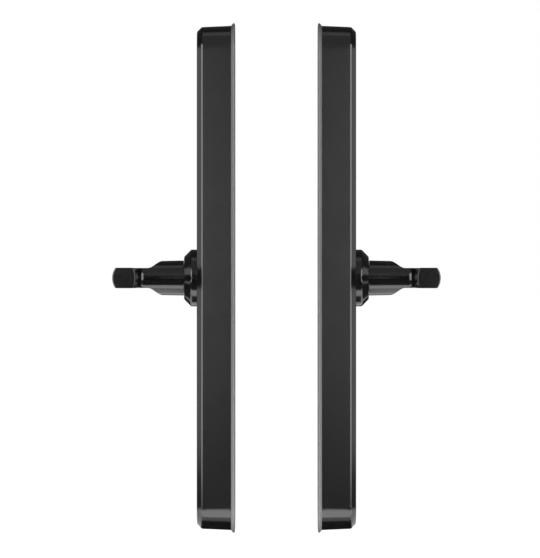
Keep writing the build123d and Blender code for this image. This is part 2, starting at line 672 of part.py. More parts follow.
# Clutch ring: slides on the hub's square, and its dogs enter the holes of the cam
with BuildPart() as clutch_ring:
    with BuildSketch(across(RING_BACK)):
        Circle(RING_RADIUS)
    extrude(amount=RING_THICKNESS)
    with BuildSketch(across(RING_FRONT)):
        with PolarLocations(DOG_CIRCLE, DOG_COUNT):
            Circle(DOG_RADIUS)
    extrude(amount=DOG_HEIGHT)
    with BuildSketch(across(RING_MIDDLE)):
        Circle(RING_RADIUS + END_PLAY)
        Circle(RING_GROOVE_RADIUS, mode=Mode.SUBTRACT)
    extrude(amount=RING_GROOVE / 2, both=True, mode=Mode.SUBTRACT)
    with BuildSketch(across(RING_BACK)):
        Rectangle(HUB_DRIVE_SQUARE + 2 * SLIP, HUB_DRIVE_SQUARE + 2 * SLIP)
    extrude(amount=RING_THICKNESS, mode=Mode.SUBTRACT)
write_outside("clutch_ring", clutch_ring.part)

# Shift fork: two arms in the ring's groove, and a block that the motor's screw drives
with BuildPart() as shift_fork:
    with BuildSketch(across(RING_MIDDLE)):
        with Locations((0, -(MOTOR_DROP - FORK_NECK) / 2)):
            Rectangle(2 * (RING_GROOVE_RADIUS + END_PLAY + FORK_ARM), MOTOR_DROP - FORK_NECK)
        Circle(RING_GROOVE_RADIUS + END_PLAY, mode=Mode.SUBTRACT)
    extrude(amount=FORK_THICKNESS / 2, both=True)
    with BuildSketch(across(FORK_BLOCK_FRONT)):
        with Locations((0, -MOTOR_DROP)):
            Rectangle(FORK_BLOCK_WIDTH, 2 * (FORK_NECK + FORK_THICKNESS))
            Circle(MOTOR_SCREW_RADIUS + SLIP, mode=Mode.SUBTRACT)
    extrude(amount=-FORK_BLOCK_LENGTH)
write_outside("shift_fork", shift_fork.part)

# Clutch motor: a flat-sided can against the wall, and the screw it turns
with BuildPart() as clutch_motor:
    with BuildSketch(across(MOTOR_FACE)):
        with Locations((0, -MOTOR_DROP)):
            Circle(MOTOR_WIDTH / 2)
            Rectangle(MOTOR_WIDTH, MOTOR_HEIGHT, mode=Mode.INTERSECT)
    extrude(amount=MOTOR_LENGTH)
write_outside("clutch_motor", clutch_motor.part)

with BuildPart() as clutch_screw:
    with BuildSketch(across(PLATE_INSIDE + HUB_GAP)):
        with Locations((0, -MOTOR_DROP)):
            Circle(MOTOR_SCREW_RADIUS)
    extrude(amount=MOTOR_FACE - PLATE_INSIDE - HUB_GAP)
write_outside("clutch_screw", clutch_screw.part)

# Folded bracket that holds the motor to the wall
with BuildPart() as motor_bracket:
    with BuildSketch(Plane.XY.offset(-MOTOR_DROP)):
        with BuildLine():
            arm = MOTOR_WIDTH / 2 + SLIP
            Polyline(
                (WALL_INSIDE, arm + BRACKET_FOOT),
                (WALL_INSIDE, arm),
                (MOTOR_FACE, arm),
                (MOTOR_FACE, -arm),
                (WALL_INSIDE, -arm),
                (WALL_INSIDE, -arm - BRACKET_FOOT),
                (WALL_INSIDE - BRACKET_SHEET, -arm - BRACKET_FOOT),
                (WALL_INSIDE - BRACKET_SHEET, -arm - BRACKET_SHEET),
                (BRACKET_FACE, -arm - BRACKET_SHEET),
                (BRACKET_FACE, arm + BRACKET_SHEET),
                (WALL_INSIDE - BRACKET_SHEET, arm + BRACKET_SHEET),
                (WALL_INSIDE - BRACKET_SHEET, arm + BRACKET_FOOT),
                close=True,
            )
        make_face()
    extrude(amount=BRACKET_HEIGHT / 2, both=True)
    with BuildSketch(across(BRACKET_FACE)):
        with Locations((0, -MOTOR_DROP)):
            Circle(MOTOR_SCREW_RADIUS + HUB_GAP)
    extrude(amount=BRACKET_SHEET, mode=Mode.SUBTRACT)
write_outside("motor_bracket", motor_bracket.part)

# Touch lens, flush in the outside front face
with BuildPart() as touch_lens:
    with BuildSketch(across(PANEL_BACK)):
        with Locations((0, PANEL_CENTRE)):
            RectangleRounded(PANEL_WIDTH, PANEL_HEIGHT, PANEL_RADIUS)
    extrude(amount=PANEL_THICKNESS)
write_outside("touch_lens", touch_lens.part)

# Light guide behind the lens, with one window for each key
with BuildPart() as light_guide:
    with BuildSketch(across(GUIDE_BACK)):
        with Locations((0, PANEL_CENTRE)):
            RectangleRounded(
                WINDOW_WIDTH - 2 * FLUSH_GAP, WINDOW_HEIGHT - 2 * FLUSH_GAP, WINDOW_RADIUS - FLUSH_GAP
            )
            with GridLocations(KEY_PITCH, KEY_ROW_PITCH, KEY_COLUMNS, KEY_ROWS):
                Circle(KEY_WINDOW_RADIUS, mode=Mode.SUBTRACT)
    extrude(amount=GUIDE_THICKNESS)
write_outside("light_guide", light_guide.part)

with BuildPart() as keypad_board:
    with BuildSketch(across(BOARD_BACK)):
        with Locations((0, PANEL_CENTRE)):
            Rectangle(WINDOW_WIDTH, BOARD_HEIGHT)
            with GridLocations(PILLAR_SPREAD, 2 * PILLAR_Z, 2, 2):
                Circle(BOARD_SCREW_RADIUS + SLIP, mode=Mode.SUBTRACT)
    extrude(amount=BOARD_THICKNESS)
write_outside("keypad_board", keypad_board.part)

with BuildPart() as keypad_screws:
    with BuildSketch(across(BOARD_BACK - BOARD_SCREW_HEAD)):
        with Locations((0, PANEL_CENTRE)):
            with GridLocations(PILLAR_SPREAD, 2 * PILLAR_Z, 2, 2):
                Circle(BOARD_SCREW_HEAD_RADIUS)
    extrude(amount=BOARD_SCREW_HEAD)
    with BuildSketch(across(BOARD_BACK)):
        with Locations((0, PANEL_CENTRE)):
            with GridLocations(PILLAR_SPREAD, 2 * PILLAR_Z, 2, 2):
                Circle(BOARD_SCREW_RADIUS)
    extrude(amount=KEYPAD_SCREW_LENGTH)
write_outside("keypad_screws", keypad_screws.part)

# Buzzer can on the back of the keypad board, with its sound port
with BuildPart() as buzzer:
    with BuildSketch(across(BOARD_BACK)):
        with Locations((0, PANEL_CENTRE)):
            Circle(BUZZER_RADIUS)
    extrude(amount=-BUZZER_HEIGHT)
    with BuildSketch(across(BOARD_BACK - BUZZER_HEIGHT)):
        with Locations((0, PANEL_CENTRE)):
            Circle(BUZZER_PORT_RADIUS)
    extrude(amount=BUZZER_PORT_DEPTH, mode=Mode.SUBTRACT)
write_outside("buzzer", buzzer.part)

# Cable sockets, one on each board
with BuildPart() as keypad_socket:
    with BuildSketch(across(BOARD_BACK)):
        with Locations((0, CABLE_SLOT_HEIGHT)):
            Rectangle(SOCKET_LENGTH, SOCKET_WIDTH)
    extrude(amount=-SOCKET_HEIGHT)
    with BuildSketch(across(BOARD_BACK - SOCKET_HEIGHT)):
        with Locations((0, CABLE_SLOT_HEIGHT)):
            Rectangle(SOCKET_LENGTH - 2 * SOCKET_WALL, SOCKET_WIDTH - 2 * SOCKET_WALL)
    extrude(amount=SOCKET_HEIGHT - SOCKET_WALL, mode=Mode.SUBTRACT)
write_outside("keypad_socket", keypad_socket.part)

# Key override: flush cover, fixed barrel and turning plug
with BuildPart() as key_cover:
    with BuildSketch(across(FRONT_FACE - KEY_COVER_THICKNESS)):
        with Locations((0, -KEY_DROP)):
            Circle(KEY_COVER_RADIUS)
        with Locations((0, -KEY_DROP - KEY_COVER_RADIUS)):
            Circle(KEY_NOTCH_RADIUS, mode=Mode.SUBTRACT)
    extrude(amount=KEY_COVER_THICKNESS)
write_outside("key_cover", key_cover.part)

with BuildPart() as key_barrel:
    with BuildSketch(across(PLATE_INSIDE)):
        with Locations((0, -KEY_DROP)):
            Circle(BARREL_RADIUS)
    extrude(amount=BARREL_FACE - PLATE_INSIDE)
    with BuildSketch(across(WALL_INSIDE)):
        with Locations((0, -KEY_DROP)):
            Circle(BARREL_FLANGE_RADIUS)
    extrude(amount=-BARREL_FLANGE)
    with BuildSketch(across(PLUG_SHOULDER)):
        with Locations((0, -KEY_DROP)):
            Circle(PLUG_RADIUS + RUNNING)
    extrude(amount=BARREL_FACE - PLUG_SHOULDER, mode=Mode.SUBTRACT)
    with BuildSketch(across(PLATE_INSIDE)):
        with Locations((0, -KEY_DROP)):
            Circle(PLUG_NECK_RADIUS + RUNNING)
    extrude(amount=PLUG_NECK_LENGTH, mode=Mode.SUBTRACT)
write_outside("key_barrel", key_barrel.part)

with BuildPart() as key_plug:
    with BuildSketch(across(PLUG_SHOULDER + RUNNING)):
        with Locations((0, -KEY_DROP)):
            Circle(PLUG_RADIUS)
    extrude(amount=BARREL_FACE - PLUG_SHOULDER - RUNNING)
    with BuildSketch(across(PLATE_INSIDE)):
        with Locations((0, -KEY_DROP)):
            Circle(PLUG_NECK_RADIUS)
    extrude(amount=PLUG_NECK_LENGTH + RUNNING)
    with BuildSketch(across(BARREL_FACE)):
        with Locations((0, -KEY_DROP)):
            Rectangle(KEYWAY_WIDTH, KEYWAY_HEIGHT)
    extrude(amount=-KEYWAY_DEPTH, mode=Mode.SUBTRACT)
    with BuildSketch(across(PLATE_INSIDE)):
        with Locations((0, -KEY_DROP)):
            Rectangle(TAIL_SLOT_WIDTH, TAIL_SLOT_HEIGHT)
    extrude(amount=TAIL_SLOT_DEPTH, mode=Mode.SUBTRACT)
write_outside("key_plug", key_plug.part)

# Battery cover, flush in the inside front face, with a rib that drops into the box and a notch for a fingertip
with BuildPart() as battery_cover:
    with BuildSketch(across(PANEL_BACK)):
        with Locations((0, PANEL_CENTRE)):
            RectangleRounded(PANEL_WIDTH, PANEL_HEIGHT, PANEL_RADIUS)
    extrude(amount=PANEL_THICKNESS)
    rib_width = BOX_WIDTH - 2 * BOX_WALL - 2 * HUB_GAP
    rib_height = BOX_HEIGHT - 2 * BOX_WALL - 2 * HUB_GAP
    with BuildSketch(across(PANEL_BACK)):
        with Locations((0, PANEL_CENTRE)):
            Rectangle(rib_width, rib_height)
            Rectangle(rib_width - 2 * COVER_RIB, rib_height - 2 * COVER_RIB, mode=Mode.SUBTRACT)
    extrude(amount=-COVER_RIB_DEPTH)
    with BuildSketch(across(PANEL_BACK)):
        with Locations((0, PANEL_FOOT)):
            Circle(COVER_NOTCH_RADIUS)
    extrude(amount=PANEL_THICKNESS, mode=Mode.SUBTRACT)
write_inside("battery_cover", battery_cover.part)

# Battery box: an open tray in the window, clamped between the front wall and the base plate
with BuildPart() as battery_box:
    with BuildSketch(across(BOX_BACK)):
        with Locations((0, PANEL_CENTRE)):
            RectangleRounded(BOX_WIDTH, BOX_HEIGHT, WINDOW_RADIUS - FLUSH_GAP)
    extrude(amount=PANEL_BACK - BOX_BACK)
    with BuildSketch(across(WALL_INSIDE)):
        with Locations((0, PANEL_CENTRE)):
            Rectangle(BOX_WIDTH + 2 * BOX_FLANGE, BOX_HEIGHT + 2 * BOX_FLANGE)
    extrude(amount=-BOX_FLANGE_THICKNESS)
    with BuildSketch(across(BOX_FLOOR)):
        with Locations((0, PANEL_CENTRE)):
            Rectangle(BOX_WIDTH - 2 * BOX_WALL, BOX_HEIGHT - 2 * BOX_WALL)
    extrude(amount=PANEL_BACK - BOX_FLOOR, mode=Mode.SUBTRACT)
    with BuildSketch(across(PLATE_INSIDE)):
        with Locations((0, PANEL_CENTRE)):
            with GridLocations(
                BOX_WIDTH - 2 * BOX_FOOT_RADIUS, BOX_HEIGHT - 2 * BOX_FOOT_RADIUS, 2, 2
            ):
                Circle(BOX_FOOT_RADIUS)
    extrude(amount=BOX_BACK - PLATE_INSIDE)
write_inside("battery_box", battery_box.part)

# Four cells in two columns, one column the other way up
with BuildPart() as batteries:
    for column, way_up in ((-1, 1), (1, -1)):
        for row in (0, 1):
            with BuildSketch(Plane.XY.offset(PANEL_CENTRE + way_up * (row - 1) * CELL_PITCH)):
                with Locations((CELL_AXIS, column * CELL_SPACING / 2)):
                    Circle(CELL_RADIUS)
            extrude(amount=way_up * CELL_LENGTH)
            with BuildSketch(Plane.XY.offset(PANEL_CENTRE + way_up * (row - 1) * CELL_PITCH)):
                with Locations((CELL_AXIS, column * CELL_SPACING / 2)):
                    Circle(CELL_TIP_RADIUS)
            extrude(amount=way_up * (CELL_LENGTH + CELL_TIP))
write_inside("batteries", batteries.part)

# Leaf contacts: a folded strip at each end of each column, its tongue against the cell
with BuildPart() as battery_contacts:
    box_end = BOX_HEIGHT / 2 - BOX_WALL - CONTACT_SHEET / 2
    tongue_end = CELL_PITCH + SLIP + CONTACT_SHEET / 2
    for column in (-1, 1):
        column_middle = Plane(
            origin=(0, column * CELL_SPACING / 2, PANEL_CENTRE), x_dir=(1, 0, 0), z_dir=(0, -1, 0)
        )
        with BuildSketch(column_middle):
            with BuildLine():
                Polyline(
                    (BOX_FLOOR + CONTACT_SHEET, box_end),
                    (CELL_AXIS + CONTACT_RISE, box_end),
                    (CELL_AXIS, tongue_end),
                    (CELL_AXIS - CONTACT_RISE, (box_end + tongue_end) / 2),
                )
            trace(line_width=CONTACT_SHEET)
            mirror(about=Plane.XZ)
        extrude(amount=CONTACT_WIDTH / 2, both=True)
write_inside("battery_contacts", battery_contacts.part)

# Control board on pillars of the inside housing
with BuildPart() as control_board:
    with BuildSketch(across(CONTROL_FRONT)):
        with Locations((0, -CONTROL_DROP)):
            Rectangle(CONTROL_WIDTH, CONTROL_HEIGHT)
            with GridLocations(
                CONTROL_WIDTH - 2 * CONTROL_SCREW_INSET, CONTROL_HEIGHT - 2 * CONTROL_SCREW_INSET, 2, 2
            ):
                Circle(BOARD_SCREW_RADIUS + SLIP, mode=Mode.SUBTRACT)
    extrude(amount=-BOARD_THICKNESS)
write_inside("control_board", control_board.part)

with BuildPart() as control_screws:
    with BuildSketch(across(CONTROL_FRONT - BOARD_THICKNESS - BOARD_SCREW_HEAD)):
        with Locations((0, -CONTROL_DROP)):
            with GridLocations(
                CONTROL_WIDTH - 2 * CONTROL_SCREW_INSET, CONTROL_HEIGHT - 2 * CONTROL_SCREW_INSET, 2, 2
            ):
                Circle(BOARD_SCREW_HEAD_RADIUS)
    extrude(amount=BOARD_SCREW_HEAD)
    with BuildSketch(across(CONTROL_FRONT - BOARD_THICKNESS)):
        with Locations((0, -CONTROL_DROP)):
            with GridLocations(
                CONTROL_WIDTH - 2 * CONTROL_SCREW_INSET, CONTROL_HEIGHT - 2 * CONTROL_SCREW_INSET, 2, 2
            ):
                Circle(BOARD_SCREW_RADIUS)
    extrude(amount=CONTROL_SCREW_LENGTH)
write_inside("control_screws", control_screws.part)

with BuildPart() as control_chips:
    with BuildSketch(across(CONTROL_FRONT - BOARD_THICKNESS)):
        with Locations((0, -CONTROL_DROP)):
            with GridLocations(0, CHIP_PITCH, 1, CHIP_COUNT):
                Rectangle(CHIP_SIZE, CHIP_SIZE)
    extrude(amount=-CHIP_HEIGHT)
write_inside("control_chips", control_chips.part)

with BuildPart() as control_socket:
    control_socket_z = -CONTROL_DROP + CONTROL_HEIGHT / 2 - SOCKET_WIDTH
    with BuildSketch(across(CONTROL_FRONT - BOARD_THICKNESS)):
        with Locations((0, control_socket_z)):
            Rectangle(SOCKET_LENGTH, SOCKET_WIDTH)
    extrude(amount=-SOCKET_HEIGHT)
    with BuildSketch(across(CONTROL_FRONT - BOARD_THICKNESS - SOCKET_HEIGHT)):
        with Locations((0, control_socket_z)):
            Rectangle(SOCKET_LENGTH - 2 * SOCKET_WALL, SOCKET_WIDTH - 2 * SOCKET_WALL)
    extrude(amount=SOCKET_HEIGHT - SOCKET_WALL, mode=Mode.SUBTRACT)
write_inside("control_socket", control_socket.part)
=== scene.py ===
"""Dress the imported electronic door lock: handles, screws, keypad digits, finishes and studio."""

import logging
from dataclasses import dataclass
from enum import Enum
from math import atan2, cos, pi, radians, sin, sqrt
from typing import NamedTuple, Self

import bmesh
import bpy
from mathutils import Matrix, Vector

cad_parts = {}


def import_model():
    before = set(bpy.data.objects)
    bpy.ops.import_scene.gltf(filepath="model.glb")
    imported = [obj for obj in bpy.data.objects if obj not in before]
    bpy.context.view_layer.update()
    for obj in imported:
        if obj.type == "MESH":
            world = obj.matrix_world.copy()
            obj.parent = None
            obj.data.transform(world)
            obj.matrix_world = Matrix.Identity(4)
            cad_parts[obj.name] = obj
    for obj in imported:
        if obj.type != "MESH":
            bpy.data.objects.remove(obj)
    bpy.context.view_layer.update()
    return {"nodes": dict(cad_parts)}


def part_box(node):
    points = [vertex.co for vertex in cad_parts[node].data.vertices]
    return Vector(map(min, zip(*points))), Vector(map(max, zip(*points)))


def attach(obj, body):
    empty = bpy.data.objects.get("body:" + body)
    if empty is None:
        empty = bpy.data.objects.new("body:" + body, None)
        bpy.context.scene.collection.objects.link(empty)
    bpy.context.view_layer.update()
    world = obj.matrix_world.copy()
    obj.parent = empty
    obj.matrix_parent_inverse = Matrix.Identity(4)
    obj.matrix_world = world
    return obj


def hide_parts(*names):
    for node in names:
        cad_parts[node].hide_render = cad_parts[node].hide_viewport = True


LOG = logging.getLogger("door_lock")
MM = 0.001

# The Mix node's sockets for numbers and for colours share their names, so they are found by place.
MIX_NUMBER_A, MIX_NUMBER_B = 2, 3
MIX_COLOUR_A, MIX_COLOUR_B, MIX_COLOUR_OUT = 6, 7, 2
# Most values of a noise texture lie between these.
NOISE_LOW, NOISE_HIGH = 0.3, 0.7
# A wave texture of scale 1 turns its phase by this many radians in one unit of length.
WAVE_TURN = 20.0

WHITE = (1.0, 1.0, 1.0, 1.0)
# Metres: the studio's floor, and the light panels that lie just above it.
FLOOR_LEVEL = -0.2
TABLE_LEVEL = FLOOR_LEVEL + 0.002


class Side(Enum):
    """The two units of the lock, by the side of the door they are on."""

    OUTER = "outer"
    INNER = "inner"

    @property
    def sign(self) -> int:
        """The way this unit faces along X."""
        return -1 if self is Side.OUTER else 1

    def node(self, piece: str) -> str:
        """Return the name of this unit's own copy of a piece."""
        return f"{self.value}_{piece}"


def both(*pieces: str) -> list[str]:
    """Return the nodes of pieces that each unit has its own copy of."""
    return [side.node(piece) for piece in pieces for side in Side]


def linear(hex_colour: str) -> tuple[float, float, float, float]:
    """Turn an sRGB hex colour to linear light.

    Args:
        hex_colour: six hex digits, such as "1a1a1c".

    Returns:
        Red, green, blue and a full alpha.
    """
    channels = []
    for start in (0, 2, 4):
        value = int(hex_colour[start:start + 2], 16) / 255
        channels.append(value / 12.92 if value <= 0.04045 else ((value + 0.055) / 1.055) ** 2.4)
    return (*channels, 1.0)


def dimmed(colour: tuple[float, ...], share: float) -> tuple[float, ...]:
    """Return a linear colour at a share of its brightness, with a full alpha."""
    return (*(share * channel for channel in colour[:3]), 1.0)


def per_size(millimetres: float) -> float:
    """Return the texture scale whose features are about that many millimetres across."""
    return 1 / (millimetres * MM)


def add_node(
    tree: bpy.types.NodeTree,
    kind: str,
    links: dict[str | int, bpy.types.NodeSocket] | None = None,
    values: dict[str | int, object] | None = None,
    **settings: object,
) -> bpy.types.Node:
    """Add a node with its settings, socket values and links.

    Args:
        tree: the node tree that takes the node.
        kind: the node's type name.
        links: output sockets by the name or place of the input that they feed.
        values: fixed values by the name or place of their input.
        settings: the node's own options.

    Returns:
        The new node.
    """
    node = tree.nodes.new(kind)
    for name, value in settings.items():
        setattr(node, name, value)
    for socket, value in (values or {}).items():
        node.inputs[socket].default_value = value
    for socket, source in (links or {}).items():
        tree.links.new(source, node.inputs[socket])
    return node


class Surface(NamedTuple):
    """A material's nodes: its tree, its shader and the piece's Object coordinates, in metres."""

    tree: bpy.types.NodeTree
    shader: bpy.types.Node
    place: bpy.types.NodeSocket

    def feed(self, socket: str, source: bpy.types.NodeSocket) -> None:
        """Link an output to one of the shader's inputs."""
        self.tree.links.new(source, self.shader.inputs[socket])


@dataclass(frozen=True)
class Finish:
    """A surface finish, shared by every piece that has it; its patterns' sizes are in millimetres."""

    name: str
    colour: str
    roughness: float
    metallic: float = 0.0

    def material(self) -> bpy.types.Material:
        """Make the finish's material, or find it where it is made already.

        Returns:
            The material.
        """
        found = bpy.data.materials.get(self.name)
        if found is not None:
            return found
        made = bpy.data.materials.new(self.name)
        made.use_nodes = True
        tree = made.node_tree
        shader = tree.nodes["Principled BSDF"]
        shader.inputs["Base Color"].default_value = linear(self.colour)
        shader.inputs["Roughness"].default_value = self.roughness
        shader.inputs["Metallic"].default_value = self.metallic
        self.pattern(Surface(tree, shader, add_node(tree, "ShaderNodeTexCoord").outputs["Object"]))
        return made

    def pattern(self, surface: Surface) -> None:
        """Add the finish's fine pattern."""
        raise NotImplementedError

    def vary_sheen(
        self, surface: Surface, noise: bpy.types.NodeSocket, below: float, above: float
    ) -> None:
        """Let a noise vary the roughness about the finish's own.

        Args:
            surface: the material's nodes.
            noise: a value from 0 to 1.
            below: how far the roughness falls where the noise is low.
            above: how far it rises where the noise is high.
        """
        values = {
            "From Min": NOISE_LOW, "From Max": NOISE_HIGH,
            "To Min": self.roughness - below, "To Max": self.roughness + above,
        }
        sheen = add_node(surface.tree, "ShaderNodeMapRange", {"Value": noise}, values)
        surface.feed("Roughness", sheen.outputs["Result"])

    def coat(self, piece: bpy.types.Object) -> None:
        """Give a piece this finish and no other."""
        piece.data.materials.clear()
        piece.data.materials.append(self.material())


@dataclass(frozen=True)
class PowderCoat(Finish):
    """Powder coat on a die casting: an even, soft sheen over a very fine orange peel."""

    peel: float = 1.2
    peel_detail: float = 2.0
    peel_depth: float = 0.02
    peel_strength: float = 0.5
    drift: float = 14.0
    spread: float = 0.015
    index: float = 1.8

    def pattern(self, surface: Surface) -> None:
        """Add the orange peel and a slow drift of the sheen.

        Args:
            surface: the material's nodes.
        """
        peel = add_node(
            surface.tree, "ShaderNodeTexNoise", {"Vector": surface.place},
            {"Scale": per_size(self.peel), "Detail": self.peel_detail},
        )
        bump = add_node(
            surface.tree, "ShaderNodeBump", {"Height": peel.outputs[0]},
            {"Strength": self.peel_strength, "Distance": self.peel_depth * MM},
        )
        surface.feed("Normal", bump.outputs["Normal"])
        drift = add_node(
            surface.tree, "ShaderNodeTexNoise", {"Vector": surface.place}, {"Scale": per_size(self.drift)}
        )
        self.vary_sheen(surface, drift.outputs[0], self.spread, self.spread)
        surface.shader.inputs["IOR"].default_value = self.index


@dataclass(frozen=True)
class RolledSteel(Finish):
    """Sheet and wire steel: bright, with faint streaks along the way it was rolled or drawn.

    The streaks are drawn coarser than real ones, so that they show.
    """

    streak: float = 0.4
    streak_length: float = 18.0
    streak_detail: float = 3.0
    spread: float = 0.06
    streak_dim: float = 0.82
    metallic: float = 1.0

    def pattern(self, surface: Surface) -> None:
        """Add streaks along Z in the sheen and the colour.

        Args:
            surface: the material's nodes.
        """
        along = add_node(
            surface.tree, "ShaderNodeMapping", {"Vector": surface.place},
            {"Scale": (per_size(self.streak), per_size(self.streak), per_size(self.streak_length))},
        )
        streaks = add_node(
            surface.tree, "ShaderNodeTexNoise", {"Vector": along.outputs[0]},
            {"Scale": 1.0, "Detail": self.streak_detail},
        )
        self.vary_sheen(surface, streaks.outputs[0], self.spread, self.spread)
        bright = linear(self.colour)
        tint = add_node(
            surface.tree, "ShaderNodeMix", {"Factor": streaks.outputs[0]},
            {MIX_COLOUR_A: dimmed(bright, self.streak_dim), MIX_COLOUR_B: bright}, data_type="RGBA",
        )
        surface.feed("Base Color", tint.outputs[MIX_COLOUR_OUT])


@dataclass(frozen=True)
class TurnedBrass(Finish):
    """Turned brass: rings left by the tool, round the key's axis.

    The rings are drawn coarser than real ones, so that they show.
    """

    ring: float = 2.83
    ring_depth: float = 0.01
    ring_strength: float = 0.4
    ring_detail: float = 1.0
    waver: float = 0.4
    spread: float = 0.1
    axis_drop: float = 72.0
    metallic: float = 1.0

    def pattern(self, surface: Surface) -> None:
        """Add tool rings round the X axis at the key's height.

        Args:
            surface: the material's nodes.
        """
        centred = add_node(
            surface.tree, "ShaderNodeMapping", {"Vector": surface.place},
            {"Location": (0.0, 0.0, self.axis_drop * MM)},
        )
        scale = 2 * pi * per_size(self.ring) / WAVE_TURN
        rings = add_node(
            surface.tree, "ShaderNodeTexWave", {"Vector": centred.outputs[0]},
            {"Scale": scale, "Distortion": self.waver, "Detail": self.ring_detail},
            wave_type="RINGS", rings_direction="X",
        )
        bump = add_node(
            surface.tree, "ShaderNodeBump", {"Height": rings.outputs["Fac"]},
            {"Strength": self.ring_strength, "Distance": self.ring_depth * MM},
        )
        surface.feed("Normal", bump.outputs["Normal"])
        self.vary_sheen(surface, rings.outputs["Fac"], 0.0, self.spread)


@dataclass(frozen=True)
class MouldedPlastic(Finish):
    """Plastic or rubber from a spark-eroded mould: an even fine grain that scatters the light.

    The grain is drawn coarser than a real one, so that it shows.
    """

    grain: float = 0.3
    grain_detail: float = 1.0
    grain_depth: float = 0.015
    grain_strength: float = 0.6
    spread: float = 0.04

    def pattern(self, surface: Surface) -> None:
        """Add the mould's grain to the surface and a little to its sheen.

        Args:
            surface: the material's nodes.
        """
        grain = add_node(
            surface.tree, "ShaderNodeTexNoise", {"Vector": surface.place},
            {"Scale": per_size(self.grain), "Detail": self.grain_detail},
        )
        bump = add_node(
            surface.tree, "ShaderNodeBump", {"Height": grain.outputs[0]},
            {"Strength": self.grain_strength, "Distance": self.grain_depth * MM},
        )
        surface.feed("Normal", bump.outputs["Normal"])
        self.vary_sheen(surface, grain.outputs[0], self.spread, self.spread)


@dataclass(frozen=True)
class PolishedLens(Finish):
    """Polished acrylic: mirror-smooth, with the faintest handling haze."""

    haze: float = 9.0
    haze_detail: float = 4.0
    spread: float = 0.05
    index: float = 1.49

    def pattern(self, surface: Surface) -> None:
        """Add patches of haze to the polish.

        Args:
            surface: the material's nodes.
        """
        patches = add_node(
            surface.tree, "ShaderNodeTexNoise", {"Vector": surface.place},
            {"Scale": per_size(self.haze), "Detail": self.haze_detail},
        )
        self.vary_sheen(surface, patches.outputs[0], 0.0, self.spread)
        surface.shader.inputs["IOR"].default_value = self.index


@dataclass(frozen=True)
class CircuitResist(Finish):
    """Solder resist over copper tracks: a gloss film, lighter where a track lies under it."""

    track_colour: str = "2f6b45"
    track: float = 2.4
    track_stray: float = 0.9
    track_edges: tuple[float, float] = (0.42, 0.48)

    def pattern(self, surface: Surface) -> None:
        """Add blocky runs of track under the film.

        Args:
            surface: the material's nodes.
        """
        cells = add_node(
            surface.tree, "ShaderNodeTexVoronoi", {"Vector": surface.place},
            {"Scale": per_size(self.track), "Randomness": self.track_stray}, distance="MANHATTAN",
        )
        edges = add_node(
            surface.tree, "ShaderNodeMapRange", {"Value": cells.outputs["Distance"]},
            {"From Min": self.track_edges[0], "From Max": self.track_edges[1], "To Min": 0.0, "To Max": 1.0},
        )
        tint = add_node(
            surface.tree, "ShaderNodeMix", {"Factor": edges.outputs["Result"]},
            {MIX_COLOUR_A: linear(self.colour), MIX_COLOUR_B: linear(self.track_colour)}, data_type="RGBA",
        )
        surface.feed("Base Color", tint.outputs[MIX_COLOUR_OUT])


@dataclass(frozen=True)
class CellWrap(Finish):
    """Shrink wrap on a dry cell: a dull sleeve with a pale band at each end of the bay."""

    band_colour: str = "b9bcc0"
    middle: float = 98.0
    band_start: float = 36.0

    def pattern(self, surface: Surface) -> None:
        """Add a pale band where the wrap is far from the middle of the bay.

        Args:
            surface: the material's nodes.
        """
        split = add_node(surface.tree, "ShaderNodeSeparateXYZ", {"Vector": surface.place})
        away = add_node(
            surface.tree, "ShaderNodeMath", {0: split.outputs["Z"]}, {1: self.middle * MM},
            operation="SUBTRACT",
        )
        height = add_node(surface.tree, "ShaderNodeMath", {0: away.outputs[0]}, operation="ABSOLUTE")
        band = add_node(
            surface.tree, "ShaderNodeMath", {0: height.outputs[0]}, {1: self.band_start * MM},
            operation="GREATER_THAN",
        )
        tint = add_node(
            surface.tree, "ShaderNodeMix", {"Factor": band.outputs[0]},
            {MIX_COLOUR_A: linear(self.colour), MIX_COLOUR_B: linear(self.band_colour)}, data_type="RGBA",
        )
        surface.feed("Base Color", tint.outputs[MIX_COLOUR_OUT])


@dataclass(frozen=True)
class ScreenInk(Finish):
    """Screen-printed ink: matt, with a slight mottle where it thinned on the lens."""

    mottle: float = 0.8
    thin_dim: float = 0.85

    def pattern(self, surface: Surface) -> None:
        """Add the mottle to the ink's colour.

        Args:
            surface: the material's nodes.
        """
        mottle = add_node(
            surface.tree, "ShaderNodeTexNoise", {"Vector": surface.place}, {"Scale": per_size(self.mottle)}
        )
        full = linear(self.colour)
        tint = add_node(
            surface.tree, "ShaderNodeMix", {"Factor": mottle.outputs[0]},
            {MIX_COLOUR_A: dimmed(full, self.thin_dim), MIX_COLOUR_B: full}, data_type="RGBA",
        )
        surface.feed("Base Color", tint.outputs[MIX_COLOUR_OUT])


# Near black, with a shine that shows soft pictures of the lights.
SATIN_BLACK = PowderCoat("Satin black powder coat", "0f0f10", 0.15)
# A cool, bright grey, streaked along the sheet.
ZINC_PLATE = RolledSteel("Zinc-plated steel", "c3c6c9", 0.32)
# A darker, duller grey under a film of oil.
OILED_STEEL = RolledSteel("Oiled hardened steel", "8a8a8c", 0.38)
# A warm silver, the brightest of the steels.
NICKEL_STRIP = RolledSteel("Nickel-plated spring strip", "cfccc4", 0.22)
# Warm yellow metal whose rings catch the light.
BRASS = TurnedBrass("Turned brass", "c79a4f", 0.24)
# Off-white and waxy, almost without grain.
ACETAL = MouldedPlastic("Natural acetal", "e9e6dc", 0.42, grain_depth=0.006)
# An even mid grey that hardly shines.
GREY_RUBBER = MouldedPlastic("Grey moulded rubber", "767778", 0.62, grain=0.5)
# A matt black, a little lighter than the coat.
BLACK_PLASTIC = MouldedPlastic("Spark-grained black plastic", "1b1b1c", 0.5)
# Milky white with a soft gloss.
MILKY_ACRYLIC = PolishedLens("Milky acrylic", "dfe3e6", 0.2)
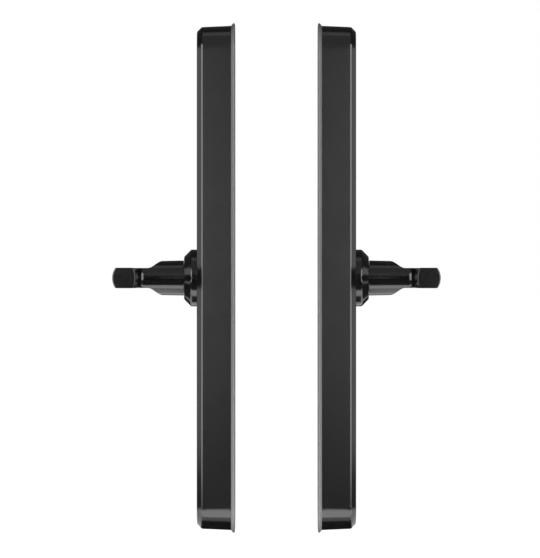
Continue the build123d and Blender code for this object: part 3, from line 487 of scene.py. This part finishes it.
# Black with clear, sharp reflections.
TINTED_LENS = PolishedLens("Black-tinted acrylic lens", "09090b", 0.05)
# A glossy dark green with lighter tracks.
CIRCUIT_BOARD = CircuitResist("Green circuit board", "1d5233", 0.28)
# A dull grey sleeve with pale ends.
CELL_SLEEVE = CellWrap("Grey cell sleeve", "55585d", 0.35)
# A pale grey, matt and a little uneven.
PALE_INK = ScreenInk("Pale screen ink", "c9ced2", 0.55)

DRESSED = {
    SATIN_BLACK: [*both("housing", "collar"), "key_cover"],
    ZINC_PLATE: [
        *both("base_plate", "collar_nut", "cam_screw"), "bolt_posts", "motor_bracket", "clutch_motor",
        "keypad_screws", "control_screws",
    ],
    OILED_STEEL: [
        *both("drive_cam", "stop_pins", "return_spring"), "spindle_hub", "clutch_ring", "clutch_screw",
    ],
    NICKEL_STRIP: ["battery_contacts"],
    BRASS: ["key_barrel", "key_plug"],
    ACETAL: [*both("bush"), "shift_fork"],
    GREY_RUBBER: both("gasket"),
    BLACK_PLASTIC: [
        "battery_cover", "battery_box", "keypad_socket", "control_socket", "buzzer", "control_chips",
    ],
    MILKY_ACRYLIC: ["light_guide"],
    TINTED_LENS: ["touch_lens"],
    CIRCUIT_BOARD: ["keypad_board", "control_board"],
    CELL_SLEEVE: ["batteries"],
}


def make_piece(name: str, mesh: bmesh.types.BMesh, body: str) -> bpy.types.Object:
    """Make a piece of a finished bmesh, with its place in its mesh, riding on a body.

    Args:
        name: the piece's name.
        mesh: the bmesh, in metres in the shared frame; it is freed.
        body: the CAD body that carries the piece.

    Returns:
        The new object.
    """
    data = bpy.data.meshes.new(name)
    mesh.to_mesh(data)
    mesh.free()
    piece = bpy.data.objects.new(name, data)
    bpy.context.scene.collection.objects.link(piece)
    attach(piece, body)
    LOG.info("%s: %d faces on %s", name, len(data.polygons), body)
    return piece


class Station(NamedTuple):
    """One cross-section of a lever: its two sides at mid height, its half height and the sides' radii."""

    inner: Vector
    outer: Vector
    half: float
    inner_radius: float
    outer_radius: float


@dataclass
class LeverHandle:
    """One lever handle, cast in one piece: a round hub, an S-neck, an elbow and a barrel-sided bar.

    Sizes are in millimetres, and places along X are measured from the middle of the door.
    """

    side: Side
    hub_start: float = 64.0
    hub_base_radius: float = 12.1
    hub_radius: float = 11.75
    base_land: float = 0.5
    shoulder: float = 80.6
    shoulder_land: float = 6.0
    neck_start: float = 78.5
    neck_end: float = 88.6
    bar_half: float = 6.9
    bar_width: float = 15.6
    bar_inner_radius: float = 15.0
    elbow_radius: float = 15.0
    bend_radius: float = 4.0
    edge_radius: float = 1.5
    tip_radius: float = 0.5
    tip_land: float = 4.0
    tip_border: float = 0.3
    tip_stop: float = 0.99
    shank_gap: float = 0.01
    tolerance: float = 0.001
    # Steps of the loft: along the neck and the elbow, round the tip, up a side and round an edge.
    steps: int = 18
    tip_steps: int = 4
    barrel_steps: int = 8
    edge_steps: int = 5
    flat_shares: tuple[float, ...] = (0.04, 0.5, 0.96)

    def build(self, nodes: dict[str, bpy.types.Object]) -> bpy.types.Object:
        """Build the handle as a loft on a copy of the CAD lever's shank; it stands for the CAD lever.

        Args:
            nodes: the CAD nodes by name.

        Returns:
            The lever.
        """
        source = self.side.node("lever")
        low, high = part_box(source)
        far = max(abs(low.x), abs(high.x)) / MM
        work = self.shank(nodes[source])
        before: list[bmesh.types.BMEdge] = []
        for spots in self.outlines(far, low.y / MM):
            ring = bmesh.ops.create_circle(work, segments=len(spots), radius=1.0)["verts"]
            edges = list({edge for vert in ring for edge in vert.link_edges})
            for vert, spot in zip(ring, spots):
                vert.co = spot
            if before:
                bmesh.ops.bridge_loops(work, edges=before + edges)
            before = edges
        bmesh.ops.recalc_face_normals(work, faces=work.faces)
        bmesh.ops.holes_fill(work, edges=[edge for edge in work.edges if edge.is_boundary])
        # The loft's own faces are quads; the shank's triangles and the end face stay flat.
        for face in work.faces:
            face.smooth = len(face.verts) == 4
        piece = make_piece(self.side.node("lever_handle"), work, source)
        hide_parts(source)
        SATIN_BLACK.coat(piece)
        return piece

    def shank(self, lever: bpy.types.Object) -> bmesh.types.BMesh:
        """Copy the part of the CAD lever that lies behind the hub.

        Args:
            lever: the CAD lever.

        Returns:
            A bmesh of the shank, open towards the hub.
        """
        work = bmesh.new()
        work.from_mesh(lever.data)
        bmesh.ops.remove_doubles(work, verts=work.verts, dist=self.tolerance * MM)
        out = Vector((self.side.sign, 0.0, 0.0))
        bmesh.ops.bisect_plane(
            work, geom=[*work.verts, *work.edges, *work.faces],
            plane_co=out * (self.hub_start - self.shank_gap) * MM, plane_no=out, clear_outer=True,
        )
        return work

    def outlines(self, far: float, tip: float) -> list[list[Vector]]:
        """Return the loft's outlines, from the hub's base round to the end face.

        Args:
            far: the bar's outer side along X.
            tip: the bar's end along Y.

        Returns:
            The outlines' points, in metres.
        """
        stations = self.stations(far, tip)
        loops = [self.section(station, 0.0) for station in stations]
        for step in range(1, self.tip_steps + 1):
            turn = pi / 2 * step / self.tip_steps
            # The last of these rings stops just short of the end face: two rings in one plane would be
            # bridged with a twist.
            share = self.tip_stop * sin(turn)
            loops.append(self.section(self.slid(stations[-1], share), self.tip_radius * (1 - cos(turn))))
        loops.append(self.section(self.slid(stations[-1], 1.0), self.tip_radius + self.tip_border))
        return loops

    def stations(self, far: float, tip: float) -> list[Station]:
        """Return the cross-sections from the hub's base to where the rounding of the tip starts.

        Args:
            far: the bar's outer side along X.
            tip: the bar's end along Y.

        Returns:
            The cross-sections, in order.
        """
        found = []
        places = [self.hub_start, self.hub_start + self.base_land, self.shoulder - self.shoulder_land]
        span = self.neck_end - self.neck_start
        places += [self.neck_start + span * step / self.steps for step in range(self.steps + 1)]
        for x in places:
            taper = max(0.0, (self.shoulder - x) / (self.shoulder - self.hub_start))
            radius = self.hub_radius + (self.hub_base_radius - self.hub_radius) * taper
            fall = min(max((x - self.neck_start) / span, 0.0), 1.0)
            # The neck falls to the bar's height on a smooth S that is level at both ends.
            half = radius - (radius - self.bar_half) * fall * fall * (3 - 2 * fall)
            found.append(Station(Vector((x, -radius)), Vector((x, radius)), half, radius, radius))
        inside = Vector((far - self.bar_width - self.bend_radius, -self.hub_radius - self.bend_radius))
        elbow = Vector((far - self.elbow_radius, self.hub_radius - self.elbow_radius))
        for step in range(self.steps + 1):
            turn = pi / 2 * step / self.steps
            way = Vector((sin(turn), cos(turn)))
            radius = self.hub_radius + (self.bar_inner_radius - self.hub_radius) * step / self.steps
            found.append(Station(
                inside + self.bend_radius * way, elbow + self.elbow_radius * way, self.bar_half, radius,
                self.hub_radius,
            ))
        for y in (inside.y - 2 * self.bend_radius, tip + self.tip_land, tip + self.tip_radius):
            found.append(found[-1]._replace(
                inner=Vector((far - self.bar_width, y)), outer=Vector((far, y))
            ))
        return found

    def slid(self, station: Station, share: float) -> Station:
        """Return a cross-section moved towards the tip by a share of the tip's rounding."""
        shift = Vector((0.0, -share * self.tip_radius))
        return station._replace(inner=station.inner + shift, outer=station.outer + shift)

    def section(self, station: Station, inset: float) -> list[Vector]:
        """Return the outline of a cross-section, in metres.

        Args:
            station: the cross-section.
            inset: how far the outline is drawn in.

        Returns:
            Points round the outline: out over the top from the outer side, and back below.
        """
        across = station.outer - station.inner
        width = across.length
        steepest = min(station.inner_radius, station.outer_radius) - self.tolerance
        rise = min(station.half, steepest) - self.edge_radius
        outer = self.flank(station.outer_radius, rise, inset)
        inner = self.flank(station.inner_radius, rise, inset)
        outer = [(width - station.outer_radius + u, z) for u, z in outer]
        inner = [(station.inner_radius - u, z) for u, z in inner]
        first, last = outer[-1], inner[-1]
        flat = [(first[0] + (last[0] - first[0]) * share, first[1]) for share in self.flat_shares]
        above = outer + flat + inner[::-1]
        below = [(u, -z) for u, z in above[-2:0:-1]]
        unit = across / width
        spots = []
        for u, z in above + below:
            spot = station.inner + unit * u
            spots.append(Vector((self.side.sign * spot.x, spot.y, z)) * MM)
        return spots

    def flank(self, radius: float, rise: float, inset: float) -> list[tuple[float, float]]:
        """Return the upper half of one side: its barrel arc and the rounding of its edge.

        Args:
            radius: the barrel arc's radius.
            rise: the height of the centre of the edge's rounding.
            inset: how far the outline is drawn in.

        Returns:
            Points from mid height to the top, outwards and upwards from the barrel arc's centre.
        """
        reach = sqrt((radius - self.edge_radius) ** 2 - rise ** 2)
        lift = atan2(rise, reach)
        points = []
        for step in range(self.barrel_steps):
            turn = lift * step / self.barrel_steps
            points.append(((radius - inset) * cos(turn), (radius - inset) * sin(turn)))
        for step in range(self.edge_steps + 1):
            turn = lift + (pi / 2 - lift) * step / self.edge_steps
            edge = self.edge_radius - inset
            points.append((reach + edge * cos(turn), rise + edge * sin(turn)))
        return points


@dataclass
class Keypad:
    """The digits printed on the touch lens; sizes are in millimetres."""

    pitch: float = 12.5
    row_pitch: float = 22.0
    height: float = 7.4
    ink: float = 0.03
    rows: tuple[str, ...] = ("123", "456", "789", "*0#")

    def build(self) -> list[bpy.types.Object]:
        """Build one thin raised mark for each key.

        Returns:
            The marks, row by row.
        """
        low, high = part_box("touch_lens")
        front = low.x / MM
        centre = (low.z + high.z) / 2 / MM
        marks = []
        for row, symbols in enumerate(self.rows):
            up = centre + ((len(self.rows) - 1) / 2 - row) * self.row_pitch
            for column, symbol in enumerate(symbols):
                across = ((len(symbols) - 1) / 2 - column) * self.pitch
                marks.append(self.mark(symbol, Vector((front, across, up)), f"key_mark_{row}{column}"))
        return marks

    def mark(self, symbol: str, spot: Vector, name: str) -> bpy.types.Object:
        """Build one printed mark on the lens.

        Args:
            symbol: the mark's character.
            spot: its middle on the lens.
            name: the piece's name.

        Returns:
            The mark, as a mesh with its place in it.
        """
        words = bpy.data.curves.new(name, "FONT")
        words.body = symbol
        words.size = self.height * MM
        words.align_x = "CENTER"
        words.align_y = "CENTER"
        words.extrude = self.ink * MM / 2
        writer = bpy.data.objects.new(f"{name}_writer", words)
        bpy.context.scene.collection.objects.link(writer)
        bpy.context.view_layer.update()
        flat = bpy.data.meshes.new_from_object(writer.evaluated_get(bpy.context.evaluated_depsgraph_get()))
        bpy.data.objects.remove(writer)
        work = bmesh.new()
        work.from_mesh(flat)
        bpy.data.meshes.remove(flat)
        bpy.data.curves.remove(words)
        # The text's right turns to -Y, its top to Z and its front to -X.
        turn = Matrix(((0, 0, -1), (-1, 0, 0), (0, 1, 0))).to_4x4()
        shift = Matrix.Translation((spot - Vector((self.ink / 2, 0, 0))) * MM)
        bmesh.ops.transform(work, matrix=shift @ turn, verts=work.verts)
        piece = make_piece(name, work, "units")
        PALE_INK.coat(piece)
        return piece


@dataclass
class PlateScrews:
    """The six countersunk screws of one base plate, with their cross recesses; sizes are in millimetres."""

    side: Side
    spread: float = 27.0
    reach: float = 158.0
    head_radius: float = 2.9
    shank_radius: float = 1.5
    recess_width: float = 0.75
    recess_reach: float = 1.75
    recess_depth: float = 1.0
    recess_taper: float = 0.62
    segments: int = 32

    def build(self) -> bpy.types.Object:
        """Build the screws as one piece that stands for the CAD node.

        Returns:
            The screws.
        """
        node = self.side.node("plate_screws")
        low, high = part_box(node)
        door_face, end = sorted((abs(low.x) / MM, abs(high.x) / MM))
        work = bmesh.new()
        for across in (-self.spread, self.spread):
            for up in (-self.reach, 0.0, self.reach):
                spot = Vector((self.side.sign * door_face, across, up))
                self.add_screw(work, spot, end - door_face)
        bmesh.ops.recalc_face_normals(work, faces=work.faces)
        piece = make_piece(self.side.node("cross_screws"), work, "units")
        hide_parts(node)
        ZINC_PLATE.coat(piece)
        return piece

    def add_screw(self, work: bmesh.types.BMesh, spot: Vector, length: float) -> None:
        """Add one screw, its head towards the door.

        Args:
            work: the bmesh that takes the screw.
            spot: the middle of its head.
            length: its length with the head.
        """
        head = bmesh.ops.create_circle(
            work, cap_ends=True, segments=self.segments, radius=self.head_radius * MM
        )["verts"]
        top = head[0].link_faces[0]
        everything = set(head)
        taper = self.shank_radius / self.head_radius
        depth = self.head_radius - self.shank_radius
        tip = self.push(work, [top], depth, taper)
        everything.update(tip)
        end = next(face for face in tip[0].link_faces if all(vert in tip for vert in face.verts))
        everything.update(self.push(work, [end], length - depth, 1.0, keep=False))
        everything.update(self.recess(work, top))
        lay = Matrix.Rotation(self.side.sign * pi / 2, 4, "Y")
        place = Matrix.Translation(spot * MM)
        bmesh.ops.transform(work, matrix=place @ lay, verts=[vert for vert in everything if vert.is_valid])

    def push(
        self, work: bmesh.types.BMesh, faces: list[bmesh.types.BMFace], depth: float, scale: float,
        keep: bool = True,
    ) -> list[bmesh.types.BMVert]:
        """Push faces along Z and narrow them.

        Args:
            work: the bmesh that holds the faces.
            faces: the faces to push.
            depth: how far they go.
            scale: how wide they become, as a share.
            keep: whether the faces also stay where they were.

        Returns:
            The vertices of the pushed faces.
        """
        moved = bmesh.ops.extrude_face_region(work, geom=faces)["geom"]
        verts = [item for item in moved if isinstance(item, bmesh.types.BMVert)]
        bmesh.ops.scale(work, vec=(scale, scale, 1.0), verts=verts)
        bmesh.ops.translate(work, vec=(0.0, 0.0, depth * MM), verts=verts)
        if not keep:
            spare = [face for face in faces if face.is_valid]
            bmesh.ops.delete(work, geom=spare, context="FACES_ONLY")
        return verts

    def recess(self, work: bmesh.types.BMesh, top: bmesh.types.BMFace) -> list[bmesh.types.BMVert]:
        """Sink a cross into the head.

        Args:
            work: the bmesh that holds the head.
            top: the head's flat face.

        Returns:
            The new vertices.
        """
        cells = [top]
        added = []
        for axis in (Vector((1, 0, 0)), Vector((0, 1, 0))):
            for place in (-self.recess_reach, -self.recess_width, self.recess_width, self.recess_reach):
                geom = cells + list({edge for face in cells for edge in face.edges})
                geom += list({vert for face in cells for vert in face.verts})
                cut = bmesh.ops.bisect_plane(work, geom=geom, plane_co=axis * place * MM, plane_no=axis)
                cells = [item for item in cut["geom"] if isinstance(item, bmesh.types.BMFace)]
                added += [item for item in cut["geom_cut"] if isinstance(item, bmesh.types.BMVert)]
        cross = []
        for face in cells:
            centre = face.calc_center_median() / MM
            near, far = sorted((abs(centre.x), abs(centre.y)))
            if near < self.recess_width and far < self.recess_reach:
                cross.append(face)
        added += self.push(work, cross, self.recess_depth, self.recess_taper, keep=False)
        return added


class Facing(Enum):
    """The way that a light panel faces."""

    LOCK = "lock"
    UP = "up"
    DOWN = "down"

    def way(self, place: Vector) -> Vector:
        """Return the direction that a panel at a place faces; the lock's middle is the origin."""
        fixed = {Facing.UP: Vector((0.0, 0.0, 1.0)), Facing.DOWN: Vector((0.0, 0.0, -1.0))}
        return fixed.get(self, -place)


@dataclass(frozen=True)
class Panel:
    """A soft light panel that the camera doesn't see, or a pair of them on the left and the right.

    Places and sizes are in metres, and a pair's place is that of its right panel. The level is the panel's
    own brightness, where 1 is white.
    """

    name: str
    place: tuple[float, float, float]
    size: tuple[float, float]
    level: float
    facing: Facing = Facing.LOCK
    paired: bool = False

    @classmethod
    def beside_lock(
        cls, name: str, bearings: tuple[float, float], heights: tuple[float, float], distance: float,
        level: float,
    ) -> Self:
        """Return a pair of panels by the stretch that each takes up as the lock sees it.

        Args:
            name: the pair's name.
            bearings: where a panel starts and ends, in degrees round from the camera.
            heights: where it starts and ends, in degrees above the spindle.
            distance: how far it is from the lock's middle.
            level: its brightness.

        Returns:
            The pair.
        """
        bearing = radians(sum(bearings) / 2)
        height = radians(sum(heights) / 2)
        away = distance * cos(height)
        place = (away * sin(bearing), -away * cos(bearing), distance * sin(height))
        size = (away * radians(bearings[1] - bearings[0]), distance * radians(heights[1] - heights[0]))
        return cls(name, place, size, level, paired=True)

    def build(self) -> None:
        """Set up the panel, or both panels of a pair."""
        x, y, z = self.place
        if self.paired:
            self.add_lamp(f"left_{self.name}", Vector((-x, y, z)))
            self.add_lamp(f"right_{self.name}", Vector((x, y, z)))
        else:
            self.add_lamp(self.name, Vector((x, y, z)))

    def add_lamp(self, name: str, place: Vector) -> None:
        """Add one area lamp.

        Args:
            name: the lamp's name.
            place: its middle.
        """
        lamp = bpy.data.lights.new(name, "AREA")
        lamp.shape = "RECTANGLE"
        lamp.size, lamp.size_y = self.size
        lamp.energy = self.level * pi * self.size[0] * self.size[1]
        panel = bpy.data.objects.new(name, lamp)
        panel.location = place
        panel.rotation_euler = self.facing.way(place).to_track_quat("-Z", "Y").to_euler()
        panel.visible_camera = False
        bpy.context.scene.collection.objects.link(panel)
        LOG.info("%s: level %.2f", name, self.level)


@dataclass
class Studio:
    """The pale floor, the soft lights, the white surround and the camera; lengths are in metres."""

    floor_reach: float = 30.0
    floor_colour: str = "f2f2f0"
    floor_in_gloss: str = "303030"
    floor_roughness: float = 0.9
    # Painted shade: within these distances of the lock, the floor's glow to the camera drops from the far
    # level to the near one.
    painted_shade_start: float = 0.15
    painted_shade_end: float = 0.4
    painted_shade_glow_near: float = 0.62
    glow_far: float = 0.97
    camera_distance: float = 4.3
    view_end: float = 100.0
    sensor: float = 36.0
    lens: float = 402.0
    shift: tuple[float, float] = (-0.01156, -0.0018)
    room_dim: float = 0.015
    room_bright: float = 0.08
    panels: tuple[Panel, ...] = (
        Panel.beside_lock("front_card", (5.0, 11.0), (-4.6, 4.8), 4.0, 0.7),
        Panel.beside_lock("softbox", (14.0, 66.0), (-14.0, 32.0), 0.7, 2.7),
        Panel.beside_lock("side_card", (72.0, 116.0), (-12.0, 20.0), 0.7, 0.7),
        Panel("ceiling", (0.0, -0.62, 0.65), (1.2, 1.1), 0.2),
        Panel("table_front", (0.0, -0.114, TABLE_LEVEL), (0.6, 0.112), 2.0, Facing.UP),
        Panel("table_near", (0.0, -0.049, TABLE_LEVEL), (0.6, 0.018), 0.6, Facing.UP),
        Panel("table_side", (0.21, 0.015, TABLE_LEVEL), (0.28, 0.13), 1.2, Facing.UP, paired=True),
        Panel("table_back", (0.0, 0.19, TABLE_LEVEL), (0.6, 0.22), 1.2, Facing.UP),
        Panel("top_panel", (0.0, -0.12, 1.0), (0.8, 0.3), 0.36, Facing.DOWN),
    )

    def build(self) -> None:
        """Build the whole studio."""
        self.surround()
        self.floor()
        for panel in self.panels:
            panel.build()
        self.camera()

    def surround(self) -> None:
        """Make the world white to the camera and dim to all other rays, dimmest behind the camera."""
        world = bpy.data.worlds.new("Studio surround")
        bpy.context.scene.world = world
        world.use_nodes = True
        tree = world.node_tree
        tree.nodes.clear()
        ways = add_node(tree, "ShaderNodeTexCoord").outputs["Generated"]
        split = add_node(tree, "ShaderNodeSeparateXYZ", {"Vector": ways})
        room = add_node(
            tree, "ShaderNodeMapRange", {"Value": split.outputs["Y"]},
            {"From Min": -1.0, "From Max": 1.0, "To Min": self.room_dim, "To Max": self.room_bright},
        )
        path = add_node(tree, "ShaderNodeLightPath")
        level = add_node(
            tree, "ShaderNodeMix",
            {"Factor": path.outputs["Is Camera Ray"], MIX_NUMBER_A: room.outputs["Result"]},
            {MIX_NUMBER_B: 1.0},
        )
        glow = add_node(tree, "ShaderNodeBackground", {"Strength": level.outputs[0]}, {"Color": WHITE})
        add_node(tree, "ShaderNodeOutputWorld", {"Surface": glow.outputs[0]})

    def floor(self) -> None:
        """Lay the pale floor, which keeps the lock's shadow."""
        work = bmesh.new()
        bmesh.ops.create_grid(work, x_segments=1, y_segments=1, size=self.floor_reach)
        bmesh.ops.translate(work, vec=(0.0, 0.0, FLOOR_LEVEL), verts=work.verts)
        data = bpy.data.meshes.new("studio_floor")
        work.to_mesh(data)
        work.free()
        board = bpy.data.objects.new("studio_floor", data)
        bpy.context.scene.collection.objects.link(board)
        data.materials.append(self.floor_paint())

    def floor_paint(self) -> bpy.types.Material:
        """Make the floor's paint: pale, and dark in glossy reflections.

        It glows to the camera, and less so round the lock: a painted shade round the lock, where its real
        shadow also lies.

        Returns:
            The material.
        """
        paint = bpy.data.materials.new("White studio floor")
        paint.use_nodes = True
        tree = paint.node_tree
        shader = tree.nodes["Principled BSDF"]
        shader.inputs["Roughness"].default_value = self.floor_roughness
        shader.inputs["Emission Color"].default_value = WHITE
        path = add_node(tree, "ShaderNodeLightPath")
        tint = add_node(
            tree, "ShaderNodeMix", {"Factor": path.outputs["Is Glossy Ray"]},
            {MIX_COLOUR_A: linear(self.floor_colour), MIX_COLOUR_B: linear(self.floor_in_gloss)},
            data_type="RGBA",
        )
        tree.links.new(tint.outputs[MIX_COLOUR_OUT], shader.inputs["Base Color"])
        place = add_node(tree, "ShaderNodeTexCoord").outputs["Object"]
        away = add_node(tree, "ShaderNodeVectorMath", {0: place}, operation="LENGTH")
        # Painted shade: the glow to the camera is dimmer near the lock.
        glow = add_node(
            tree, "ShaderNodeMapRange", {"Value": away.outputs["Value"]},
            {
                "From Min": self.painted_shade_start, "From Max": self.painted_shade_end,
                "To Min": self.painted_shade_glow_near, "To Max": self.glow_far,
            },
        )
        seen = add_node(
            tree, "ShaderNodeMath", {0: path.outputs["Is Camera Ray"], 1: glow.outputs["Result"]},
            operation="MULTIPLY",
        )
        tree.links.new(seen.outputs[0], shader.inputs["Emission Strength"])
        return paint

    def camera(self) -> None:
        """Set the camera level with the spindle, looking along the door's face."""
        eye = bpy.data.cameras.new("studio_camera")
        eye.sensor_width = self.sensor
        eye.lens = self.lens
        eye.shift_x, eye.shift_y = self.shift
        eye.clip_end = self.view_end
        stand = bpy.data.objects.new("studio_camera", eye)
        stand.location = (0.0, -self.camera_distance, 0.0)
        stand.rotation_euler = (pi / 2, 0.0, 0.0)
        bpy.context.scene.collection.objects.link(stand)
        bpy.context.scene.camera = stand


def main() -> None:
    """Load the frame, build and dress the lock, and set up the studio."""
    logging.basicConfig(level=logging.INFO, format="%(message)s")
    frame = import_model()
    bpy.context.scene.view_settings.view_transform = "Standard"
    for finish, names in DRESSED.items():
        for name in names:
            finish.coat(frame["nodes"][name])
            LOG.info("%s: %s", name, finish.name)
    for side in Side:
        LeverHandle(side).build(frame["nodes"])
        PlateScrews(side).build()
    Keypad().build()
    Studio().build()


if __name__ == "__main__":
    main()
